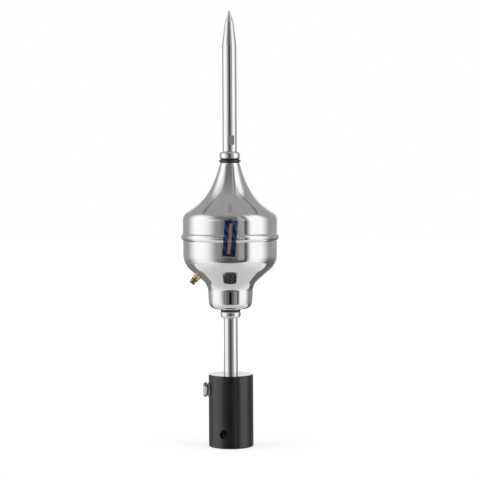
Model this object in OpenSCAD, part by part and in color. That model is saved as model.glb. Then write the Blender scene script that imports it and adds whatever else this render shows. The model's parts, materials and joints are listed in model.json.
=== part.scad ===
// Lightning rod: a pointed air terminal with a floating spun shell round a trigger unit, on a mast adapter.
// Millimetres. +Z runs up the axis to the point, the origin is the centre of the adapter's foot,
// and the front of the part looks towards -Y. Turns are counted from the front towards the left (-X).

/* [Rod] */
// Diameter of the finial and of the stem
rod_d = 18; // [16:0.5:20]
// Length of the finial from the upper collar to its point
finial_l = 175.1; // [150:0.1:220]
// Length of the slim taper below the point
taper_l = 29; // [20:0.1:40]
// Length of the point itself
point_l = 14.3; // [10:0.1:25]
// Diameter where the taper meets the point
point_d = 10.7; // [8:0.1:13]
// Radius of the blunted end
point_r = 0.9; // [0.6:0.1:2]
// Width across the spanner flats
flat_af = 16; // [14:0.5:16]
// Height of the flats above the upper collar
flat_z = 8.4; // [4:0.1:20]
// Length of the flats
flat_l = 11.5; // [8:0.5:16]
// Turn of the flats from the front
flat_turn = -11; // [-90:1:90]

/* [Core] */
// Diameter of the core inside the shell
core_d = 14; // [12.5:0.5:15]
// Diameter of the stud that carries the finial
stud_d = 12; // [10:0.5:12]
// Reach of the stud into the finial
stud_reach = 28; // [20:1:40]
// Stem in view between the adapter and the lower collar
stem_l = 70.4; // [50:0.1:120]
// Gap round a piece that slips over another
slip_gap = 0.1; // [0.05:0.01:0.2]

/* [Collars] */
// Diameter of both collars
collar_d = 26; // [24:0.5:30]
// Height of the upper collar
upper_collar_h = 9.2; // [7:0.1:11]
// Height of the lower collar
lower_collar_h = 8.5; // [7:0.1:10]
// Rounding of a collar on its rod side
collar_round = 4.2; // [3:0.1:4.5]
// Rounding of a collar on its insulator side
collar_edge = 2; // [1:0.1:2.4]

/* [Insulators] */
// Height of the upper insulator above the shell
upper_rise = 4.9; // [4.5:0.1:8]
// Height of the lower insulator below the shell
lower_rise = 3; // [2.5:0.1:6]
// Diameter of the upper insulator's lips
lip_d = 23.5; // [22.5:0.1:26]
// Cord of the seal ring between the lips
seal_cord = 2.8; // [2:0.1:3.2]
// Outer diameter of the seal ring
seal_d = 27.6; // [26:0.1:30]
// Diameter of the lower insulator's flange
lower_flange_d = 25.8; // [24:0.1:30]
// Narrowing of that flange towards the collar
lower_taper = 0.7; // [0:0.1:2.5]
// Height of the flange's straight rim
lower_rim = 0.8; // [0.4:0.1:1.5]
// Length of the spigots inside the shell
spigot_l = 13; // [8:0.5:18]

/* [Shell] */
// Sheet thickness of the spun halves
wall = 1.2; // [0.8:0.1:1.5]
// Radius of the straight wall
shell_r = 59.25; // [55:0.25:64]
// Height of the dome above the seam
dome_h = 92.3; // [85:0.1:110]
// Radius of the dome's neck
neck_r = 12.3; // [12.1:0.1:14]
// Straight length at the neck's rim
neck_l = 0.6; // [0.4:0.1:1]
// Widening of the flare down to its upper bend
flare_out = 5.7; // [4.6:0.1:6]
// Depth of the upper bend below the rim
flare_drop = 20.5; // [17:0.1:22]
// Radius of the flare's upper bend
flare_round = 115.5; // [90:0.5:118]
// Widening of the flare down to its lower bend
flare_out_low = 20.1; // [19.5:0.1:22]
// Depth of the lower bend below the rim
flare_drop_low = 45.9; // [45:0.1:48]
// Radius of the flare's lower bend
flare_round_low = 55; // [45:0.5:65]
// Radius of the shoulder
shoulder_round = 12.4; // [6:0.1:14]
// Height of the shoulder's corner above the seam
shoulder_z = 27.6; // [24:0.1:32]
// Height of the bowl below the seam
bowl_h = 90.3; // [84:0.1:100]
// Radius of the cup at its foot
cup_r = 27.2; // [25:0.1:32]
// Height of the cup up to the cone
cup_h = 29.9; // [28:0.1:34]
// Widening of the cup from foot to cone
cup_draft = 1.6; // [0.2:0.1:2]
// Rounding of the cup's foot
cup_round = 8.9; // [6:0.1:12]
// Rounding between cup and cone
cone_round = 17; // [14:0.1:26]
// Rounding between cone and wall
belly_round = 27.4; // [16:0.1:30]
// Depth of the cone's upper corner below the seam
belly_z = 34.3; // [30:0.1:38]
// Draft of the bowl's wall
wall_draft = 0.2; // [0:0.1:1]
// Height of the rolled bead
bead_h = 9.4; // [8:0.1:11]
// Projection of the rolled bead
bead_out = 2.4; // [1.8:0.05:2.6]
// Gap between the bowl's lip and the bead round it
seam_gap = 0.1; // [0.05:0.01:0.2]

/* [Trigger unit] */
// Radius of the potted block
unit_r = 46; // [36:0.5:48]
// Height of the potted block
unit_h = 38; // [25:0.5:42]
// Depth of its underside below the seam
unit_drop = 24.6; // [20:0.1:26]
// Radius of the hub's flange under the block
hub_flange_r = 22; // [18:0.5:26]
// Thickness of that flange
hub_flange_t = 4; // [3:0.5:6]
// Radius of the hub
hub_r = 12; // [11:0.5:14]
// Height of the hub
hub_h = 18; // [14:0.5:22]
// Diameter of the hub's grub screw
hub_screw_d = 5; // [4:1:6]
// Width across the flats of the nut on top of the block
unit_nut_af = 22; // [19:0.5:24]
// Height of that nut
unit_nut_h = 8; // [6:0.5:10]
// Thickness of the washer under it
unit_washer_t = 2; // [1:0.5:3]
// Thickness of the pickup spring
spring_t = 0.6; // [0.4:0.1:0.8]
// Width of the pickup spring
spring_w = 8; // [5:0.5:10]
// Length of the spring along the dome's wall
spring_l = 12; // [10:0.5:16]
// Inward kick of the spring's foot
spring_kick = 7; // [4:0.5:9]
// Height of the spring's foot
spring_foot = 6; // [4:0.5:8]
// Bend of the spring over the edge of the block
spring_bend = 5; // [3:0.5:6]
// Gap between the spring and the dome's wall
spring_gap = 0.35; // [0.2:0.05:0.6]
// Distance of the spring's fixed end from the washer
spring_start = 4; // [2:0.5:8]
// Turn of the spring from the front
spring_turn = 150; // [90:1:270]

/* [Test socket] */
// Distance of the socket below the middle of the cone's straight stretch
socket_low = 0.5; // [-3:0.1:3]
// Turn of the socket from the front
socket_turn = 84; // [0:1:180]
// Width across the flats of the flange at the shell
socket_flange_af = 9.5; // [8:0.1:11]
// Thickness of the flange
socket_flange_t = 1.8; // [1.5:0.1:4]
// Diameter of the sleeve
socket_sleeve_d = 9.7; // [8:0.1:10]
// Length of the sleeve
socket_sleeve_l = 2.5; // [2:0.1:6]
// Diameter of the black ring
socket_ring_d = 9; // [8:0.1:9.6]
// Thickness of the black ring
socket_ring_t = 1.5; // [1:0.1:2.5]
// Diameter of the barrel
socket_barrel_d = 8; // [7:0.1:8.6]
// Length of the barrel
socket_barrel_l = 5.7; // [4:0.1:8]
// Bore for the test plug
socket_bore_d = 4; // [3.8:0.1:4.2]
// Shank through the shell
socket_shank_d = 6; // [5.6:0.1:6.4]
// Length of the shank inside the shell
socket_tail = 11; // [9:0.1:13]
// Thickness of the socket's nut inside the shell
socket_nut_t = 3; // [2:0.1:4]
// Gap between that nut and the sheet
socket_nut_gap = 0.3; // [0.2:0.05:0.6]
// Diameter of the test lead
lead_d = 2.4; // [1.6:0.1:3]
// Bend of the lead above the socket
lead_bend = 10; // [6:0.5:12]

/* [Adapter] */
// Diameter of the adapter
adapter_d = 56.2; // [54:0.1:64]
// Thickness of the floor between the mast socket and the stem
adapter_floor = 2; // [1:0.5:4]
// Height of the adapter
adapter_h = 90.6; // [84:0.1:110]
// Diameter of the mast socket, for a 42.4 tube
mast_d = 42.8; // [42.6:0.1:43.6]
// Depth of the mast socket
mast_depth = 46; // [36:0.5:50]
// Rounding of the foot's edge
foot_round = 1; // [0.5:0.1:3]
// Edge break of the top
top_break = 0.8; // [0.4:0.1:1.5]
// Core diameter of the tapped mast hole
mast_screw_d = 10.2; // [8:0.1:11]
// Diameter of that hole's countersink
mast_sink_d = 11.6; // [10.6:0.1:13]
// Height of the mast hole
mast_screw_z = 18; // [14:0.5:26]
// Turn of the mast hole from the front
mast_screw_turn = 20; // [-90:1:90]
// Shank of the clamp bolt
bolt_d = 10; // [8:1:10]
// Width across the flats of its head
bolt_af = 16; // [13:1:17]
// Height of its head
bolt_head_h = 4.6; // [4:0.1:7]
// Diameter of the neck between its head and its washer
bolt_neck_d = 13.6; // [11:0.1:15]
// Length of that neck
bolt_gap = 1.1; // [0.5:0.1:3]
// Diameter of its washer
bolt_washer_d = 17.6; // [15:0.1:19]
// Thickness of its washer
bolt_washer_t = 2; // [1:0.1:3]
// Depth of the bolt below the adapter's top
bolt_z = 19.4; // [15:0.1:24]
// Turn of the bolt from the front
bolt_turn = 84; // [0:1:180]
// Depth of the milled flat under its washer
bolt_flat = 1; // [0.3:0.1:1.5]
// Gap round the washer on its flat
bolt_flat_gap = 0.8; // [0.4:0.1:2]
// Depth of the dimple in the stem for its tip
bolt_dimple = 0.5; // [0.3:0.1:1]

/* [Label] */
// Width of the label
label_w = 15.8; // [10:0.1:24]
// Height of the label
label_h = 43.8; // [34:0.1:46]
// Height of its middle above the seam
label_z = 0.3; // [-2:0.1:2]
// Lean of its top towards the right
label_lean = 4.5; // [0:0.5:10]
// Thickness of the film
label_t = 0.12; // [0.08:0.01:0.2]

/* [Hidden] */
$fn = 96;

// Levels along the axis, from the foot up
z_lower_collar = adapter_h + stem_l;
z_lower_insulator = z_lower_collar + lower_collar_h;
z_bowl = z_lower_insulator + lower_rise;
z_seam = z_bowl + bowl_h;
z_dome = z_seam + dome_h;
z_upper_collar = z_dome + upper_rise;
z_finial = z_upper_collar + upper_collar_h;
z_tip = z_finial + finial_l;
z_step = z_tip - point_l;
z_taper = z_step - taper_l;
z_stem = mast_depth + adapter_floor;
z_bolt = adapter_h - bolt_z;
z_shoulder = z_lower_collar + lower_collar_h / 2;
z_core_top = z_dome + upper_rise / 2;
z_stud_top = z_finial + stud_reach;

// Radii that follow from the sizes above
rod_r = rod_d / 2;
core_r = core_d / 2;
stud_r = stud_d / 2;
core_bore = core_r + slip_gap;
stud_bore = stud_r + slip_gap;
spigot_up_r = neck_r - 1.1 * wall - slip_gap;
spigot_low_r = core_r + 2.9;

// The bead is one arc through both edges of the seam and its crest
bead_round = (pow(bead_h / 2, 2) + pow(bead_out, 2)) / (2 * bead_out);
bead_c = shell_r + bead_out - bead_round;
bead_in = bead_round - wall;
lip_round = bead_in - seam_gap;
bowl_r = shell_r - 0.05;
hem_r = shell_r + 0.05;

// The cone of the bowl and the socket's place on it
belly_r = bowl_r - wall_draft;
cup_top_r = cup_r + cup_draft;
cone_rise = atan2(bowl_h - belly_z - cup_h, belly_r - cup_top_r);
cone_l = (belly_r - cup_top_r) / cos(cone_rise);
cone_from = cone_round * tan((90 - cone_rise - atan(cup_draft / cup_h)) / 2);
cone_to = cone_l - belly_round * tan((90 - cone_rise - atan(wall_draft / belly_z)) / 2);
socket_along = (cone_from + cone_to) / 2 - socket_low;
socket_r = cup_top_r + socket_along * cos(cone_rise);
socket_z = z_bowl + cup_h + socket_along * sin(cone_rise);
socket_down = 90 - cone_rise;
tail_r = socket_r - (socket_tail + 0.02) * cos(socket_down);
tail_z = socket_z + (socket_tail + 0.02) * sin(socket_down);

// The trigger unit's levels
z_unit = z_seam - unit_drop;
z_unit_top = z_unit + unit_h;
z_nut = z_unit_top + unit_washer_t;

// Paths of [radius, height, rounding] run from the top of a sheet to its foot
dome_path = fitted([
    [neck_r, z_dome, 0],
    [neck_r, z_dome - neck_l, 0],
    [neck_r + flare_out, z_dome - flare_drop, flare_round],
    [neck_r + flare_out_low, z_dome - flare_drop_low, flare_round_low],
    [shell_r, z_seam + shoulder_z, shoulder_round],
    [shell_r, z_seam + bead_h / 2, 0]
]);
bowl_path = fitted([
    [bowl_r, z_seam - arc_z(lip_round, bowl_r), 0],
    [belly_r, z_seam - belly_z, belly_round],
    [cup_top_r, z_bowl + cup_h, cone_round],
    [cup_r, z_bowl, cup_round],
    [spigot_low_r + slip_gap, z_bowl, 0]
]);

// Height above the seam at which an arc round the bead's centre crosses a radius
function arc_z(round, r) = sqrt(pow(round, 2) - pow(r - bead_c, 2));

// Plane geometry of the paths
function xy(p) = [p[0], p[1]];
function unit(v) = v / norm(v);
function course(path, i) = unit(xy(path[i + 1]) - xy(path[i]));
function right_of(v) = [v[1], -v[0]];
function cross2(a, b) = a[0] * b[1] - a[1] * b[0];
function turned(v, w) = [v[0] * cos(w) - v[1] * sin(w), v[0] * sin(w) + v[1] * cos(w)];
function reversed(list) = [for (i = [len(list) - 1 : -1 : 0]) list[i]];
function steps(turn, round) = max(2, ceil(turn / 6), ceil(turn * round * PI / 180 / 4));

// Points of an arc about a centre, from one angle to another
function arc(centre, round, from, to) =
    let (n = steps(abs(to - from), round))
    [for (k = [0 : n]) centre + turned([round, 0], from + (to - from) * k / n)];

// Points of the rounding at a corner between two courses
function corner(p, a, b, round) =
    let (turn = acos(min(1, a * b)), way = sign(cross2(a, b)))
    let (start = p - a * round * tan(turn / 2))
    let (centre = start - way * round * right_of(a))
    let (n = steps(turn, round))
    [for (k = [0 : n]) centre + turned(start - centre, way * turn * k / n)];

// Length that a corner's rounding takes from the stretch on each side of it
function tangent(path, i) = (i == 0 || i == len(path) - 1 || path[i][2] <= 0)
    ? 0
    : path[i][2] * tan(acos(min(1, course(path, i - 1) * course(path, i))) / 2);

// Share of the roundings at both ends of a stretch that the stretch has room for
function share(path, i) =
    min(1, norm(xy(path[i + 1]) - xy(path[i])) / max(0.001, tangent(path, i) + tangent(path, i + 1)));

// A path whose roundings are limited by the stretches between them
function fitted(path) = [
    for (i = [0 : len(path) - 1])
    let (part = min(share(path, max(0, i - 1)), share(path, min(len(path) - 2, i))))
    [path[i][0], path[i][1], path[i][2] * part]
];

// A path with its corners rounded
function rounded(path) = [
    for (i = [0 : len(path) - 1])
    each (i == 0 || i == len(path) - 1 || path[i][2] <= 0)
        ? [xy(path[i])]
        : corner(xy(path[i]), course(path, i - 1), course(path, i), path[i][2])
];

// A path moved to its right-hand side, so that a sheet keeps one thickness
function inset(path, d) = [
    for (i = [0 : len(path) - 1])
    let (a = course(path, max(0, i - 1)), b = course(path, min(len(path) - 2, i)))
    let (p = xy(path[i]) + d * (right_of(a) + right_of(b)) / (1 + a * b))
    [p[0], p[1], path[i][2] > 0 ? path[i][2] + d * sign(cross2(a, b)) : 0]
];

// Turns its children, drawn along +X, to a direction counted from the front towards the left
module facing(turn) {
    rotate([0, 0, -90 - turn]) children();
}

// Places its children along a radius at a height, with +Z pointing outwards
module along_radius(turn, z) {
    facing(turn) translate([0, 0, z]) rotate([0, 90, 0]) children();
}

// Places its children on the cone of the bowl, with +Z pointing out of the sheet
module on_cone() {
    facing(socket_turn) translate([socket_r, 0, socket_z]) rotate([0, 90 + socket_down, 0]) children();
}

// A hexagonal prism with its corners turned down at the top
module hex_head(af, h) {
    intersection() {
        cylinder(d = af / cos(30), h = h, $fn = 6);
        rotate_extrude()
            polygon([[0, 0], [0.6 * af, 0], [0.6 * af, h - 0.11 * af], [0.47 * af, h], [0, h]]);
    }
}

// Pointed upper rod with a tapped foot and spanner flats
module finial_rod() {
    color([0.80, 0.80, 0.81])
    difference() {
        rotate_extrude()
            polygon(rounded([
                [0, z_finial, 0],
                [rod_r, z_finial, 0.5],
                [rod_r, z_taper, 3],
                [point_d / 2, z_step, 2],
                [point_r, z_tip, point_r],
                [0, z_tip, 0]
            ]));
        translate([0, 0, z_finial - 1]) cylinder(r = stud_bore, h = stud_reach + 3);
        for (half = [0, 180])
            facing(flat_turn + half)
                translate([flat_af / 2, -rod_d, z_finial + flat_z]) cube([rod_d, 2 * rod_d, flat_l]);
    }
}

// Round nut that draws the shell down on its core
module upper_collar() {
    color([0.80, 0.80, 0.81])
    rotate_extrude()
        polygon(rounded([
            [stud_bore, z_upper_collar, 0],
            [collar_d / 2, z_upper_collar, collar_edge],
            [collar_d / 2, z_finial, collar_round],
            [stud_bore, z_finial, 0]
        ]));
}

// Black bush that keeps the dome clear of the core
module upper_insulator() {
    groove = seal_cord + 0.1;
    low = z_dome + 0.4 * (upper_rise - groove);
    color([0.03, 0.03, 0.03])
    rotate_extrude()
        polygon([
            [core_bore, z_dome - spigot_l],
            [spigot_up_r, z_dome - spigot_l],
            [spigot_up_r, z_dome],
            [lip_d / 2, z_dome],
            [lip_d / 2, low],
            [seal_d / 2 - seal_cord - 0.1, low],
            [seal_d / 2 - seal_cord - 0.1, low + groove],
            [lip_d / 2, low + groove],
            [lip_d / 2, z_upper_collar],
            [core_bore, z_upper_collar]
        ]);
}

// Rubber ring between the lips of the upper insulator
module upper_seal() {
    color([0.03, 0.03, 0.03])
    translate([0, 0, z_dome + 0.4 * (upper_rise - seal_cord - 0.1) + seal_cord / 2 + 0.05])
        rotate_extrude() translate([(seal_d - seal_cord) / 2, 0]) circle(d = seal_cord);
}

// Spun dome whose foot is rolled into the bead of the seam
module upper_dome() {
    centre = [bead_c, z_seam];
    top = asin(bead_h / 2 / bead_round);
    foot = -acos((hem_r - bead_c) / bead_round);
    hem = -acos((hem_r - bead_c) / bead_in);
    inner = acos((shell_r - wall - bead_c) / bead_in);
    outside = arc(centre, bead_round, top, foot);
    color([0.78, 0.78, 0.79])
    rotate_extrude()
        polygon(concat(
            rounded(dome_path),
            [for (i = [1 : len(outside) - 1]) outside[i]],
            arc(centre, bead_in, hem, inner),
            reversed(rounded(inset(dome_path, wall)))
        ));
}

// Spun bowl whose lip is held inside the bead
module lower_bowl() {
    centre = [bead_c, z_seam];
    foot = -acos((bowl_r - bead_c) / lip_round);
    inner = -acos((bowl_r - wall - bead_c) / (lip_round - wall));
    outside = arc(centre, lip_round, 25, foot);
    color([0.78, 0.78, 0.79])
    difference() {
        rotate_extrude()
            polygon(concat(
                [for (i = [0 : len(outside) - 2]) outside[i]],
                rounded(bowl_path),
                reversed(rounded(inset(bowl_path, wall))),
                arc(centre, lip_round - wall, inner, 25)
            ));
        on_cone() translate([0, 0, -3 * wall]) cylinder(r = socket_shank_d / 2 + slip_gap, h = 6 * wall);
    }
}

// Black bush that keeps the bowl clear of the core
module lower_insulator() {
    color([0.03, 0.03, 0.03])
    rotate_extrude()
        polygon([
            [core_bore, z_lower_insulator],
            [lower_flange_d / 2 - lower_taper, z_lower_insulator],
            [lower_flange_d / 2, z_bowl - lower_rim],
            [lower_flange_d / 2, z_bowl],
            [spigot_low_r, z_bowl],
            [spigot_low_r, z_bowl + spigot_l],
            [core_bore, z_bowl + spigot_l]
        ]);
}

// Ring that rests on the shoulder of the stem and carries the shell
module lower_collar() {
    color([0.80, 0.80, 0.81])
    rotate_extrude()
        polygon(rounded([
            [rod_r + slip_gap, z_lower_collar, 0],
            [collar_d / 2, z_lower_collar, min(collar_round, collar_d / 2 - rod_r - 0.2)],
            [collar_d / 2, z_lower_insulator, collar_edge],
            [core_bore, z_lower_insulator, 0],
            [core_bore, z_shoulder, 0],
            [rod_r + slip_gap, z_shoulder, 0]
        ]));
}

// Stem, core and stud turned from one bar
module stem_rod() {
    color([0.80, 0.80, 0.81])
    difference() {
        rotate_extrude()
            polygon([
                [0, z_stem],
                [rod_r - 1, z_stem],
                [rod_r, z_stem + 1],
                [rod_r, z_shoulder],
                [core_r, z_shoulder],
                [core_r, z_core_top],
                [stud_r, z_core_top],
                [stud_r, z_stud_top - 1],
                [stud_r - 1, z_stud_top],
                [0, z_stud_top]
            ]);
        along_radius(bolt_turn, z_bolt)
            translate([0, 0, rod_r - bolt_dimple]) cylinder(r = bolt_d / 2 + slip_gap, h = rod_r);
    }
}

// Brass hub that earths the trigger unit on the core
module earth_hub() {
    color([0.75, 0.58, 0.26])
    difference() {
        rotate_extrude()
            polygon([
                [core_bore, z_unit - hub_h],
                [hub_r, z_unit - hub_h],
                [hub_r, z_unit - hub_flange_t],
                [hub_flange_r, z_unit - hub_flange_t],
                [hub_flange_r, z_unit],
                [core_bore, z_unit]
            ]);
        along_radius(0, z_unit - 0.62 * hub_h) cylinder(r = hub_screw_d / 2 + slip_gap, h = hub_r + 1);
    }
}

// Grub screw that holds the hub on the core
module hub_screw() {
    color([0.45, 0.45, 0.46])
    along_radius(0, z_unit - 0.62 * hub_h)
        translate([0, 0, core_r + 0.05]) difference() {
            cylinder(d = hub_screw_d, h = hub_r - core_r - 0.6);
            translate([0, 0, hub_r - core_r - 2.6]) cylinder(d = 0.55 * hub_screw_d, h = 3, $fn = 6);
        }
}

// Potted ring that holds the trigger circuit
module trigger_unit() {
    color([0.10, 0.10, 0.12])
    rotate_extrude()
        polygon(rounded([
            [core_bore + 0.5, z_unit, 0],
            [unit_r, z_unit, 2],
            [unit_r, z_unit_top, 2],
            [core_bore + 0.5, z_unit_top, 0]
        ]));
}

// Washer under the nut of the trigger unit
module unit_washer() {
    color([0.70, 0.70, 0.71])
    translate([0, 0, z_unit_top]) difference() {
        cylinder(r = 0.75 * unit_nut_af, h = unit_washer_t);
        translate([0, 0, -1]) cylinder(r = core_bore, h = unit_washer_t + 2);
    }
}

// Nut that clamps the trigger unit on its hub
module unit_nut() {
    color([0.70, 0.70, 0.71])
    translate([0, 0, z_nut]) difference() {
        hex_head(unit_nut_af, unit_nut_h);
        translate([0, 0, -1]) cylinder(r = core_bore, h = unit_nut_h + 2);
    }
}

// Leaf spring that links the trigger unit with the dome
module pickup_spring() {
    reach = shell_r - wall - spring_gap;
    top = z_unit_top + spring_t + 0.02;
    path = [
        [0.75 * unit_nut_af + spring_start, top, 0],
        [reach, top, spring_bend],
        [reach, z_unit_top - spring_l, 0.8 * spring_bend],
        [reach - spring_kick, z_unit_top - spring_l - spring_foot, 0]
    ];
    color([0.72, 0.70, 0.64])
    facing(spring_turn) rotate([90, 0, 0]) translate([0, 0, -spring_w / 2])
        linear_extrude(height = spring_w)
            polygon(concat(rounded(path), reversed(rounded(inset(path, spring_t)))));
}

// Lead from the test socket up into the trigger unit
module test_lead() {
    bend_z = tail_z + lead_bend * sin(cone_rise);
    color([0.65, 0.08, 0.06])
    facing(socket_turn) translate([tail_r + lead_bend * cos(cone_rise), 0, bend_z]) {
        rotate([90, 0, 0]) rotate([0, 0, 180])
            rotate_extrude(angle = cone_rise) translate([lead_bend, 0]) circle(d = lead_d);
        translate([-lead_bend, 0, 0]) cylinder(d = lead_d, h = z_unit - bend_z - 0.01);
    }
}

// Barrel and shank of the test socket
module socket_body() {
    foot = socket_flange_t + socket_sleeve_l + socket_ring_t;
    top = foot + socket_barrel_l;
    color([0.83, 0.66, 0.32])
    on_cone() rotate_extrude()
        polygon([
            [0, -socket_tail],
            [socket_shank_d / 2, -socket_tail],
            [socket_shank_d / 2, foot],
            [socket_barrel_d / 2, foot],
            [socket_barrel_d / 2, top - 0.5],
            [socket_barrel_d / 2 - 0.5, top],
            [socket_bore_d / 2 + 0.4, top],
            [socket_bore_d / 2, top - 0.4],
            [socket_bore_d / 2, -1],
            [0, -2]
        ]);
}

// A round spacer on the shank of the test socket
module socket_spacer(d, from, h) {
    on_cone() translate([0, 0, from]) difference() {
        cylinder(d = d, h = h);
        translate([0, 0, -1]) cylinder(r = socket_shank_d / 2 + slip_gap, h = h + 2);
    }
}

// Black ring under the barrel of the test socket
module socket_ring() {
    color([0.03, 0.03, 0.03])
    socket_spacer(socket_ring_d, socket_flange_t + socket_sleeve_l, socket_ring_t);
}

// Brass sleeve between the ring and the flange
module socket_sleeve() {
    color([0.83, 0.66, 0.32])
    socket_spacer(socket_sleeve_d, socket_flange_t, socket_sleeve_l);
}

// Hexagonal flange on the outside of the bowl
module socket_flange() {
    color([0.83, 0.66, 0.32])
    on_cone() rotate([0, 0, 30]) difference() {
        hex_head(socket_flange_af, socket_flange_t);
        translate([0, 0, -1]) cylinder(r = socket_shank_d / 2 + slip_gap, h = socket_flange_t + 2);
    }
}

// Nut of the test socket inside the bowl, clear of the hollow side of the sheet
module socket_nut() {
    color([0.83, 0.66, 0.32])
    on_cone() translate([0, 0, -wall - socket_nut_gap]) rotate([180, 0, 30]) difference() {
        hex_head(socket_flange_af, socket_nut_t);
        translate([0, 0, -1]) cylinder(r = socket_shank_d / 2 + slip_gap, h = socket_nut_t + 2);
    }
}

// Turned adapter that takes the stem above and the mast below
module mast_adapter() {
    radius = adapter_d / 2;
    sink = (mast_sink_d - mast_screw_d) / 2;
    color([0.06, 0.06, 0.06])
    difference() {
        rotate_extrude()
            polygon(rounded([
                [rod_r + slip_gap, mast_depth, 0],
                [mast_d / 2, mast_depth, 0],
                [mast_d / 2, 1, 0],
                [mast_d / 2 + 1, 0, 0],
                [radius, 0, foot_round],
                [radius, adapter_h, top_break],
                [rod_r + slip_gap, adapter_h, 0]
            ]));
        along_radius(mast_screw_turn, mast_screw_z) {
            translate([0, 0, mast_d / 2 - 3]) cylinder(d = mast_screw_d, h = radius);
            translate([0, 0, radius - sink]) cylinder(d1 = mast_screw_d, d2 = mast_screw_d + 8 * sink, h = 4 * sink);
        }
        along_radius(bolt_turn, z_bolt) {
            translate([0, 0, rod_r - 2]) cylinder(r = bolt_d / 2 + slip_gap, h = radius);
            translate([0, 0, radius - bolt_flat]) cylinder(r = bolt_washer_d / 2 + bolt_flat_gap, h = radius);
        }
    }
}

// Hexagon bolt with a captive washer, whose tip locks the stem in the adapter
module clamp_bolt() {
    seat = adapter_d / 2 - bolt_flat;
    head = seat + bolt_washer_t + bolt_gap;
    tip = rod_r - bolt_dimple + slip_gap;
    color([0.72, 0.72, 0.74])
    along_radius(bolt_turn, z_bolt) {
        translate([0, 0, head]) hex_head(bolt_af, bolt_head_h);
        rotate_extrude()
            polygon([
                [0, tip],
                [bolt_d / 2 - 1, tip],
                [bolt_d / 2, tip + 1],
                [bolt_d / 2, seat],
                [bolt_washer_d / 2, seat],
                [bolt_washer_d / 2, seat + bolt_washer_t],
                [bolt_neck_d / 2, seat + bolt_washer_t],
                [bolt_neck_d / 2, head + 1],
                [0, head + 1]
            ]);
    }
}

// Outline of the shell across the seam, moved outwards by a small gap
function skin(gap) = concat(
    [[shell_r + gap, z_seam + label_h]],
    arc([bead_c, z_seam], bead_round + gap, acos((shell_r + gap - bead_c) / (bead_round + gap)),
        -acos((shell_r + gap - bead_c) / (bead_round + gap))),
    [[shell_r + gap, z_seam - label_h]]
);

// Thin printed film that lies over the seam
module label() {
    color([0.05, 0.10, 0.24])
    intersection() {
        rotate_extrude() polygon(concat(skin(0.03 + label_t), reversed(skin(0.03))));
        translate([0, 0, z_seam + label_z]) rotate([0, label_lean, 0])
            translate([-label_w / 2, -shell_r - 10, -label_h / 2]) cube([label_w, shell_r, label_h]);
    }
}

finial_rod();
upper_collar();
upper_insulator();
upper_seal();
upper_dome();
lower_bowl();
lower_insulator();
lower_collar();
stem_rod();
earth_hub();
hub_screw();
trigger_unit();
unit_washer();
unit_nut();
pickup_spring();
test_lead();
socket_body();
socket_ring();
socket_sleeve();
socket_flange();
socket_nut();
mast_adapter();
clamp_bolt();
label();
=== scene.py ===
import json
import logging
import math
from dataclasses import dataclass, field
from enum import Enum
from functools import cache, reduce
from typing import Iterable, Optional, Sequence, Union

import bpy
from mathutils import Euler, Matrix, Vector

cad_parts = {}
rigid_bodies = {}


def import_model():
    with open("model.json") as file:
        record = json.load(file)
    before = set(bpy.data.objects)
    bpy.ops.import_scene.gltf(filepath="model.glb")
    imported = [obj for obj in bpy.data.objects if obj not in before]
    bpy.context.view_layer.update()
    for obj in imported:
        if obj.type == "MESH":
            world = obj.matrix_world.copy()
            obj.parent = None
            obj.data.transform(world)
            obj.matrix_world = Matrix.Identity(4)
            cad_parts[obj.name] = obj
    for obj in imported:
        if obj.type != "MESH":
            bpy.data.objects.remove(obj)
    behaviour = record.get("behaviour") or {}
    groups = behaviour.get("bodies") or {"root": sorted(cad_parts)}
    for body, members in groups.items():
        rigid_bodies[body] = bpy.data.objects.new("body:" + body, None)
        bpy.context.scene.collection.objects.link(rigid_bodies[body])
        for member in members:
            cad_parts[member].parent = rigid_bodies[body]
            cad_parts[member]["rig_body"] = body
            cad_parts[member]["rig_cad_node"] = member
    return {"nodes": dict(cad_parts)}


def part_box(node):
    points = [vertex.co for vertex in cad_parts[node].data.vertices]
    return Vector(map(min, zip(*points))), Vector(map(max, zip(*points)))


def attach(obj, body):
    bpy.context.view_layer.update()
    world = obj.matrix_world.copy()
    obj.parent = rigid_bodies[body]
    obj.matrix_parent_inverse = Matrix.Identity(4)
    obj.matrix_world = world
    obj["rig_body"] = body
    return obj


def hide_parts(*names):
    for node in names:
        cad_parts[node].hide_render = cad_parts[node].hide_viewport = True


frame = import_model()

MM = 0.001
BODY = "root"
BOLT_TURN = math.radians(84.0)
BOLT_AXIS = (-math.sin(BOLT_TURN), -math.cos(BOLT_TURN), 0.0)
# Where the gap between the bolt's washer and its head lies along the bolt's axis; the bolt's finish paints
# shade there.
BOLT_BAND = (29.2 * MM, 30.8 * MM)
LABEL_SIZE = (15.8 * MM, 43.8 * MM)
LABEL_LEAN = math.radians(4.5)
LOG = logging.getLogger("lightning_rod")

Pair = tuple[float, float]
Colour = tuple[float, float, float]
Socket = bpy.types.NodeSocket
Value = Union[float, Socket]


class Slot(Enum):
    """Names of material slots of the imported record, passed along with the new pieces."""

    STEEL = "polished_steel"
    INSULATOR = "black_insulator"
    BRASS = "brass"
    PLATED = "plated_steel"


class End(Enum):
    """The two ends of the shell on its core."""

    UPPER = "upper"
    LOWER = "lower"


@dataclass(frozen=True)
class Knee:
    """A corner of an outline, in millimetres, with the radius that rounds it."""

    r: float
    z: float
    bend: float = 0.0

    @property
    def at(self) -> Vector:
        """The corner as a plane vector."""
        return Vector((self.r, self.z))


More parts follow.
